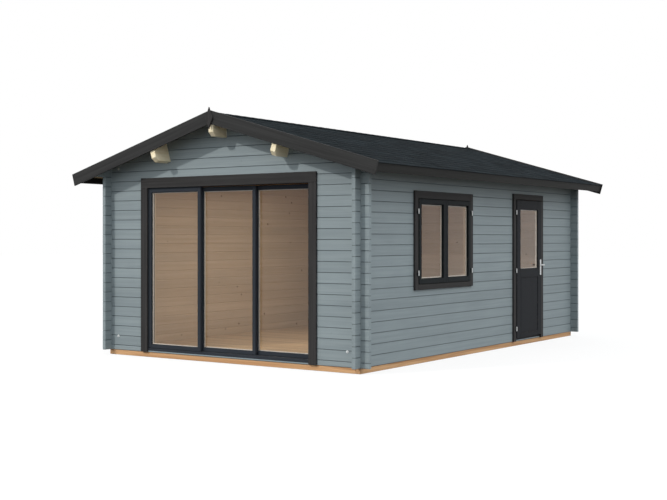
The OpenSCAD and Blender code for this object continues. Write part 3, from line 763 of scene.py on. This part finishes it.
eased = {
    "side_base_beams": ("baseBeamsSide", beamSide, "impregnated_wood", 0.004),
    "end_base_beams": ("baseBeamsEnd", beamEnd, "impregnated_wood", 0.004),
    "ridge_purlin": ("ridgePurlin", purlinPine, "raw_pine", 0.002),
    "side_purlins": ("sidePurlins", purlinPine, "raw_pine", 0.002),
    "barge_boards_left": ("bargeBoardsLeft", bargePaint, "trim_paint", 0.0025),
    "barge_boards_right": ("bargeBoardsRight", bargePaint, "trim_paint", 0.0025),
    "finials": ("finialBoards", trimUpright, "trim_paint", 0.0025),
    "eaves_fascias": ("eavesFascias", fasciaPaint, "trim_paint", 0.0025),
    "patio_side_trims": ("patioSideTrims", trimUpright, "trim_paint", 0.003),
    "patio_top_trim": ("patioTopTrim", trimAcrossX, "trim_paint", 0.003),
    "window_side_trims": ("windowSideTrims", trimUpright, "trim_paint", 0.003),
    "window_cross_trims": ("windowCrossTrims", trimAcrossY, "trim_paint", 0.003),
    "door_side_trims": ("doorSideTrims", trimUpright, "trim_paint", 0.003),
    "door_top_trim": ("doorTopTrim", trimAcrossY, "trim_paint", 0.003),
    "patio_jambs": ("patioJambs", patioLined, "patio_paint", 0.0012),
    "patio_head": ("patioHead", patioLined, "patio_paint", 0.0012),
    "door_jambs": ("doorJambs", doorUpright, "frame_paint", 0.002),
    "door_head": ("doorHead", doorAcross, "frame_paint", 0.002),
}
for nodeName, (pieceName, finish, slotName, ease) in eased.items():
    easedCopy(nodeName, pieceName, finish, ease)
print("boards and trims are eased")

# hinges: bright barrels, painted plates and feet
hingeLook = {"radius": 0.007, "barrel": 0.0078, "footReach": 0.020, "ease": 0.0006}
low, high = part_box("side_door_hinges")
doorPins = [(high.x - hingeLook["radius"], low.y + hingeLook["radius"])]
low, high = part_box("window_hinges")
windowPins = [(high.x - hingeLook["radius"], y)
              for y in (low.y + hingeLook["footReach"], high.y - hingeLook["footReach"])]
for nodeName, pieceName, body, pins in (
        ("window_hinges", "windowHinges", "house", windowPins),
        ("door_hinge_feet", "doorHingeFeet", "house", doorPins),
        ("side_door_hinges", "sideDoorHinges", "side_door", doorPins)):
    easedCopy(nodeName, pieceName, satinSteel, hingeLook["ease"], body, pins)
print("hinges are made")


# sashes and panels from stiles, rails, beads and seals
stileJoint = 0.0002
sealEase = 0.0008


def placed(point, across, value, z):
    return tuple(z if axis == 2 else value if axis == across else c
                 for axis, c in enumerate(point))


def addSash(whole, low, high, stile, bottom, top, across, ease):
    for start, end in ((low[across], low[across] + stile), (high[across] - stile, high[across])):
        addBoard(whole, placed(low, across, start, low[2]), placed(high, across, end, high[2]),
                 ease)
    first, last = low[across] + stile + stileJoint, high[across] - stile - stileJoint
    for start, end in ((low[2], low[2] + bottom), (high[2] - top, high[2])):
        addBoard(whole, placed(low, across, first, start), placed(high, across, last, end),
                 ease, finish=1)


def addRing(whole, low, high, width, across, ease, finish=0):
    for start, end in ((low[across], low[across] + width), (high[across] - width, high[across])):
        addBoard(whole, placed(low, across, start, low[2]), placed(high, across, end, high[2]),
                 ease, finish=finish)
    first, last = low[across] + width, high[across] - width
    for start, end in ((low[2], low[2] + width), (high[2] - width, high[2])):
        addBoard(whole, placed(low, across, first, start), placed(high, across, last, end),
                 ease, finish=finish)


# bead in front of the pane, pale seal behind it
def sealPane(whole, pane, outside, inside, depthAxis, across, seal):
    front, back = list(pane[0]), list(pane[1])
    for ends, width, finish in ((outside, seal["bead"], 0), (inside, seal["pale"], 2)):
        front[depthAxis], back[depthAxis] = min(ends), max(ends)
        addRing(whole, front, back, width, across, sealEase, finish)


patioPanels = {
    "ease": 0.0015,
    "bead": 0.005,
    "beadDeep": 0.005,
    "pale": 0.013,
    "paleShort": 0.001,    # the seal ends this far before the room side
}
for side, body in (("left", "house"), ("middle", "patio_middle"), ("right", "patio_right")):
    whole = newPart()
    low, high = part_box("patio_panel_" + side)
    paneLow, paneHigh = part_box("patio_glass_" + side)
    addSash(whole, low, high, paneLow.x - low.x, paneLow.z - low.z, high.z - paneHigh.z, 0,
            patioPanels["ease"])
    sealPane(whole, (paneLow, paneHigh), (paneLow.y, paneLow.y - patioPanels["beadDeep"]),
             (paneHigh.y, high.y - patioPanels["paleShort"]), 1, 0, patioPanels)
    finishPiece("patioPanel" + side.capitalize(), whole, [patioCoat, patioCoat, paneBead], body,
                ["patio_panel_" + side])

windowSashes = {
    "gap": 0.003,
    "ease": 0.003,
    "bead": 0.006,
    "beadDeep": 0.006,
    "pale": 0.017,
    "paleShort": 0.001,
    "frameEase": 0.002,
}
whole = newPart()
low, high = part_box("window_sashes")
paneLow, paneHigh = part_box("window_glass")
sashWide = (high.y - low.y - windowSashes["gap"]) / 2
sashStile = paneLow.y - low.y
for start in (low.y, low.y + sashWide + windowSashes["gap"]):
    addSash(whole, (low.x, start, low.z), (high.x, start + sashWide, high.z),
            sashStile, paneLow.z - low.z, high.z - paneHigh.z, 1, windowSashes["ease"])
    pane = ((paneLow.x, start + sashStile, paneLow.z),
            (paneHigh.x, start + sashWide - sashStile, paneHigh.z))
    sealPane(whole, pane, (paneHigh.x, paneHigh.x + windowSashes["beadDeep"]),
             (paneLow.x, low.x + windowSashes["paleShort"]), 0, 1, windowSashes)
finishPiece("windowSashes", whole, [sashUpright, sashAcross, paneBead], "house",
            ["window_sashes"])

whole = newPart()
low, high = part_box("window_frame")
sashLow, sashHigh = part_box("window_sashes")
addSash(whole, low, high, sashLow.y - low.y, sashLow.z - low.z, high.z - sashHigh.z, 1,
        windowSashes["frameEase"])
finishPiece("windowFrame", whole, [frameUpright, frameAcross], "house",
            ["window_frame"])
print("window and sliding panels are made")


# hinged door: stiles, rails, raised field and threshold
doorLeaf = {
    "bottom": 0.053,
    "panelHigh": 0.721,
    "panelThick": 0.027,
    "fieldFlat": 0.0153,
    "fieldSlope": 0.0187,
    "fieldRise": 0.003,
    "ease": 0.003,
    "bead": 0.008,
    "beadDeep": 0.006,
    "pale": 0.014,
    "paleShort": 0.001,
    "mould": 0.012,
    "mouldShare": 0.7,     # of the recess
    "mouldEase": 0.004,
}


def makeLeaf():
    whole = newPart()
    low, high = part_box("side_door_leaf")
    paneLow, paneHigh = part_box("side_door_glass")
    panelFrom = low.z + doorLeaf["bottom"]
    panelTo = panelFrom + doorLeaf["panelHigh"]
    stile = paneLow.y - low.y
    front, rear = low.y + stile, high.y - stile
    addSash(whole, low, high, stile, doorLeaf["bottom"], high.z - paneHigh.z, 1, doorLeaf["ease"])
    addBoard(whole, (low.x, front + stileJoint, panelTo), (high.x, rear - stileJoint, paneLow.z),
             doorLeaf["ease"], finish=1)
    middle = (low.x + high.x) / 2
    thick = doorLeaf["panelThick"] / 2
    field = boxPart((middle - thick, front, panelFrom), (middle + thick, rear, panelTo))
    for face in [f for f in field.faces if abs(f.normal.x) > 0.9]:
        for width, rise in ((doorLeaf["fieldFlat"], 0),
                            (doorLeaf["fieldSlope"], doorLeaf["fieldRise"])):
            bmesh.ops.inset_region(field, faces=[face], thickness=width, depth=rise)
    joinPart(whole, field)
    mouldDeep = ((high.x - low.x) / 2 - thick) * doorLeaf["mouldShare"]
    for start, end in ((middle + thick, middle + thick + mouldDeep),
                       (middle - thick - mouldDeep, middle - thick)):
        addRing(whole, (start, front, panelFrom), (end, rear, panelTo), doorLeaf["mould"], 1,
                doorLeaf["mouldEase"])
    sealPane(whole, (paneLow, paneHigh), (paneHigh.x, paneHigh.x + doorLeaf["beadDeep"]),
             (paneLow.x, low.x + doorLeaf["paleShort"]), 0, 1, doorLeaf)
    finishPiece("sideDoorLeaf", whole, [doorUpright, doorAcross, paneBead], "side_door",
                ["side_door_leaf"])


makeLeaf()

sills = {
    "thresholdEase": 0.003,
    "ease": 0.0015,
    "railHalf": 1.1545,     # half a rail's length
    "railWide": 0.006,
    "railEase": 0.001,
}
whole = newPart()
low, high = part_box("door_threshold")
addBoard(whole, low, high, sills["thresholdEase"])
finishPiece("doorThreshold", whole, [doorAcross], "house", ["door_threshold"])

whole = newPart()
low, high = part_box("patio_sill")
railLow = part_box("patio_jambs")[0].z
addBoard(whole, low, (high.x, high.y, railLow), sills["ease"])
for side in ("left", "middle", "right"):
    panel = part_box("patio_panel_" + side)
    track = (panel[0].y + panel[1].y) / 2
    addBoard(whole, (-sills["railHalf"], track - sills["railWide"] / 2, railLow + 0.0001),
             (sills["railHalf"], track + sills["railWide"] / 2, high.z), sills["railEase"],
             finish=1)
finishPiece("patioSill", whole, [patioCoat, railSteel], "house", ["patio_sill"])
print("door leaf, threshold and sill are made")


# lever handle, screws and bolt caps
def roundPart(radius, long, direction, middle, sides, narrow=1.0, ease=0.0):
    part = newPart()
    turn = Vector((0, 0, 1)).rotation_difference(Vector(direction)).to_matrix().to_4x4()
    bmesh.ops.create_cone(part, cap_ends=True, segments=sides, radius1=radius,
                          radius2=radius * narrow, depth=long,
                          matrix=Matrix.Translation(middle) @ turn)
    if ease:
        easeEdges(part, ease, 2, 0.6)
    return part


handleSet = {
    "plateWide": 0.038,
    "plateUp": 0.072,       # from the spindle to the plate's top
    "plateThick": 0.005,
    "plateCorner": 0.012,
    "plateEase": 0.0015,
    "rose": 0.0125,
    "roseLong": 0.007,
    "neck": 0.0085,
    "reach": 0.060,
    "bar": 0.014,
    "barHalf": 0.009,
    "barEase": 0.0042,
    "long": 0.120,
    "longIn": 0.088,
    "curve": 0.010,
    "taper": 0.28,
    "keyDown": 0.072,
    "keyRound": 0.0085,
    "keyLong": 0.004,
    "keySlotShade": (0.0012, 0.004),
    "screw": 0.0038,
    "screwLong": 0.0022,
    "screwsUp": (0.060, -0.123),
}


def makeHandle():
    whole = newPart()
    low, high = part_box("side_door_handle")
    leafLow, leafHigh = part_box("side_door_leaf")
    plateHalf = handleSet["plateWide"] / 2
    plateFace = handleSet["plateThick"]
    reach, half = handleSet["reach"], handleSet["barHalf"]
    spindleY = high.y - plateHalf
    spindleZ = high.z - handleSet["plateUp"]
    for out, face, long in ((1, leafHigh.x, handleSet["long"]),
                            (-1, leafLow.x, handleSet["longIn"])):
        def at(depth, y, z):
            return (face + out * depth, y, z)

        def addRound(radius, deep, depth, z, sides, narrow=1.0, ease=0.0):
            joinPart(whole, roundPart(radius, deep, (out, 0, 0), at(depth, spindleY, z), sides,
                                      narrow, ease))

        corners = (at(0.0001, spindleY - plateHalf, low.z), at(plateFace, high.y, high.z))
        plate = boxPart(tuple(map(min, *corners)), tuple(map(max, *corners)))
        upright = [e for e in plate.edges if abs(e.verts[0].co.x - e.verts[1].co.x) > 0.001]
        bmesh.ops.bevel(plate, geom=upright, offset=handleSet["plateCorner"],
                        offset_type="OFFSET", affect="EDGES", segments=6, profile=0.5,
                        material=-1)
        easeEdges(plate, handleSet["plateEase"], 2, 1.2)
        joinPart(whole, plate)
        addRound(handleSet["rose"], handleSet["roseLong"], plateFace + 0.003, spindleZ, 28,
                 0.85, 0.001)
        addRound(handleSet["neck"], reach - 0.012, (reach - 0.004) / 2, spindleZ, 24)

        ends = (at(reach - handleSet["bar"], spindleY + half, spindleZ - half),
                at(reach, spindleY + half - long, spindleZ + half))
        bar = boxPart(tuple(map(min, *ends)), tuple(map(max, *ends)))
        lengthwise = [e for e in bar.edges if abs(e.verts[0].co.y - e.verts[1].co.y) > 0.05]
        bmesh.ops.subdivide_edges(bar, edges=lengthwise, cuts=9, use_grid_fill=True)
        for v in bar.verts:
            run = (spindleY + half - v.co.y) / long
            v.co.x -= out * handleSet["curve"] * max(0.0, run - 0.55) ** 2 / 0.2
            v.co.z = spindleZ + (v.co.z - spindleZ) * (1 - handleSet["taper"] * run)
        easeEdges(bar, handleSet["barEase"], 3, 0.8)
        for f in bar.faces:
            f.smooth = True
        joinPart(whole, bar)

        key = spindleZ - handleSet["keyDown"]
        addRound(handleSet["keyRound"], handleSet["keyLong"], plateFace + 0.001, key, 24, 1.0,
                 0.0006)
        # key slot: a thin dark sheet on the cylinder face, painted shade in place of a hole
        slot = at(plateFace + 0.0032, spindleY, key)
        slotWide, slotHigh = handleSet["keySlotShade"]
        addBoard(whole, (slot[0] - 0.0002, slot[1] - slotWide, slot[2] - slotHigh),
                 (slot[0] + 0.0002, slot[1] + slotWide, slot[2] + slotHigh), 0.0001, finish=1)
        for up in handleSet["screwsUp"]:
            addRound(handleSet["screw"], handleSet["screwLong"], plateFace + 0.0006,
                     spindleZ + up, 14, 0.8)
    finishPiece("sideDoorHandle", whole, [satinSteel, sashUpright], "side_door",
                ["side_door_handle"])


makeHandle()

fixings = {
    "wallHalf": 1.8,
    "capIn": 0.163,       # from the outer face of a side wall
    "capHeights": (0.221, 2.208),
    "capRadius": 0.016,
    "capThick": 0.003,
    "boltRadius": 0.01088,
    "boltLong": 0.009,
    "screw": 0.0042,
    "screwLong": 0.0016,
    "screwStep": 0.42,
    "trimIn": 0.017,      # rows in from a trim's long edges
    "doorTopIn": 0.016,
    "patioTopIn": 0.018,
    "patioSideIn": 0.031,
    "sideEnds": 0.05,     # and in from its ends
    "crossEnds": 0.06,
    "doorTopEnds": 0.09,
    "patioTopEnds": 0.05,
    "patioSideEnds": 0.06,
    "bargeAcross": (0.16, 0.62, 0.90, 1.20, 1.55, 1.79, 2.05),
    "bargeDrops": (0.012, -0.052),
}


def makeBoltCaps():
    whole = newPart()
    for name, out in (("front_wall_left", -1), ("rear_wall", 1)):
        low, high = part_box(name)
        face = low.y if out < 0 else high.y
        for side in (-1, 1):
            x = side * (fixings["wallHalf"] - fixings["capIn"])
            for z in fixings["capHeights"]:
                for radius, long, proud, narrow, ease in (
                        (fixings["capRadius"], fixings["capThick"], 0.0010, 0.94, 0.0008),
                        (fixings["boltRadius"], fixings["boltLong"], 0.0060, 0.72, 0.002)):
                    joinPart(whole, roundPart(radius, long, (0, out, 0),
                                              (x, face + out * proud, z), 24, narrow, ease))
    finishPiece("boltCaps", whole, [boltCap], "house")


def addScrew(whole, point, out):
    point = Vector(point) + Vector(out) * 0.0003
    joinPart(whole, roundPart(fixings["screw"], fixings["screwLong"], out, point, 12, 0.72))


def rowOfScrews(whole, start, end, out):
    start, end = Vector(start), Vector(end)
    count = max(2, round((end - start).length / fixings["screwStep"]) + 1)
    for k in range(count):
        addScrew(whole, start.lerp(end, k / (count - 1)), out)


def makeScrews():
    whole = newPart()
    low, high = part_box("patio_side_trims")
    topLow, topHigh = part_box("patio_top_trim")
    inset = fixings["patioSideEnds"]
    for side in (-1, 1):
        x = side * (topHigh.x - fixings["patioSideIn"])
        rowOfScrews(whole, (x, low.y, low.z + inset), (x, low.y, high.z - inset), (0, -1, 0))
    inset, z = fixings["patioTopEnds"], topHigh.z - fixings["patioTopIn"]
    rowOfScrews(whole, (topLow.x + inset, topLow.y, z), (topHigh.x - inset, topLow.y, z),
                (0, -1, 0))

    inset = fixings["sideEnds"]
    for name in ("window_side_trims", "door_side_trims"):
        low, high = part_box(name)
        for y in (low.y + fixings["trimIn"], high.y - fixings["trimIn"]):
            rowOfScrews(whole, (high.x, y, low.z + inset), (high.x, y, high.z - inset),
                        (1, 0, 0))
    low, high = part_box("door_top_trim")
    inset, z = fixings["doorTopEnds"], high.z - fixings["doorTopIn"]
    rowOfScrews(whole, (high.x, low.y + inset, z), (high.x, high.y - inset, z), (1, 0, 0))
    low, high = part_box("window_cross_trims")
    inset = fixings["crossEnds"]
    for z in (low.z + fixings["trimIn"], high.z - fixings["trimIn"]):
        rowOfScrews(whole, (high.x, low.y + inset, z), (high.x, high.y - inset, z), (1, 0, 0))

    low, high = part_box("barge_boards_right")
    for end, out in ((low.y, -1), (high.y, 1)):
        for x in fixings["bargeAcross"]:
            z = ridgeUnder - x * math.tan(roofPitch)
            for side in (-1, 1):
                for drop in fixings["bargeDrops"]:
                    addScrew(whole, (side * x, end, z + drop), (0, out, 0))
    finishPiece("trimScrews", whole, [trimUpright], "house")


makeBoltCaps()
makeScrews()
print("handle and fixings are made")


# studio
studio = {
    "ambient": 1.15,
    "ambientColour": (0.97, 1.0, 1.02, 1.0),
    "sun": 1.55,
    "sunColour": (1.0, 0.965, 0.92),
    "sunSoftness": 1.2,
    "sunTravel": (0.55, 1.0, -0.77),
    "fill": 0.75,
    "fillColour": (1.0, 1.0, 1.0),
    "fillSoftness": 40.0,
    "fillTravel": (-1.0, 0.0, -0.95),
    "roomLamp": 29.0,
    "roomSize": (2.4, 3.2),
    "roomPlace": (0.1, -1.0, 2.12),
    "floorHalf": 60.0,
    "floorColour": (0.07, 0.07, 0.07, 1.0),
    "floorSeen": (0.95, 0.95, 0.95, 1.0),
    "floorWhite": 0.82,
}


def seenRays(tree):
    path = tree.nodes.new("ShaderNodeLightPath")
    seen = calc(tree, "MAXIMUM", path.outputs["Is Camera Ray"], path.outputs["Is Glossy Ray"])
    return calc(tree, "MAXIMUM", seen, path.outputs["Is Transmission Ray"])


def lightStudio():
    world = bpy.data.worlds.new("paleStudio")
    world.use_nodes = True
    tree = world.node_tree
    background = tree.nodes["Background"]
    seen = seenRays(tree)
    colour = blendColour(tree, seen, studio["ambientColour"], (1, 1, 1, 1))
    tree.links.new(colour, background.inputs["Color"])
    strength = put(tree, "ShaderNodeMapRange", None,
                   {"Value": seen, "To Min": studio["ambient"], "To Max": 1.0})
    tree.links.new(strength.outputs[0], background.inputs["Strength"])
    bpy.context.scene.world = world

    for name in ("sun", "fill"):
        lampData = bpy.data.lights.new(name + "Lamp", "SUN")
        lampData.energy = studio[name]
        lampData.color = studio[name + "Colour"]
        lampData.angle = math.radians(studio[name + "Softness"])
        lamp = bpy.data.objects.new(name + "Lamp", lampData)
        lamp.rotation_euler = Vector(studio[name + "Travel"]).to_track_quat("-Z", "Y").to_euler()
        bpy.context.scene.collection.objects.link(lamp)

    roomData = bpy.data.lights.new("roomLamp", "AREA")
    roomData.shape = "RECTANGLE"
    roomData.size, roomData.size_y = studio["roomSize"]
    roomData.energy = studio["roomLamp"]
    room = bpy.data.objects.new("roomLamp", roomData)
    room.location = studio["roomPlace"]
    room.visible_camera = False
    room.visible_glossy = False
    room.visible_transmission = False
    bpy.context.scene.collection.objects.link(room)

    paleFloor = bpy.data.materials.new("paleFloor")
    paleFloor.use_nodes = True
    tree = paleFloor.node_tree
    tree.nodes.remove(tree.nodes["Principled BSDF"])
    shown = blendColour(tree, seenRays(tree), studio["floorColour"], studio["floorSeen"])
    matt = put(tree, "ShaderNodeBsdfDiffuse", None, {"Color": shown})
    white = put(tree, "ShaderNodeEmission", None, {"Color": (1, 1, 1, 1), "Strength": 1.0})
    share = calc(tree, "MULTIPLY", seenRays(tree), studio["floorWhite"])
    mixShaders(tree, share, matt, white)
    whole = bmesh.new()
    bmesh.ops.create_grid(whole, x_segments=1, y_segments=1, size=studio["floorHalf"])
    mesh = bpy.data.meshes.new("studioFloor")
    whole.to_mesh(mesh)
    whole.free()
    mesh.materials.append(paleFloor)
    ground = bpy.data.objects.new("studioFloor", mesh)
    bpy.context.scene.collection.objects.link(ground)


lightStudio()
print("studio is lit")
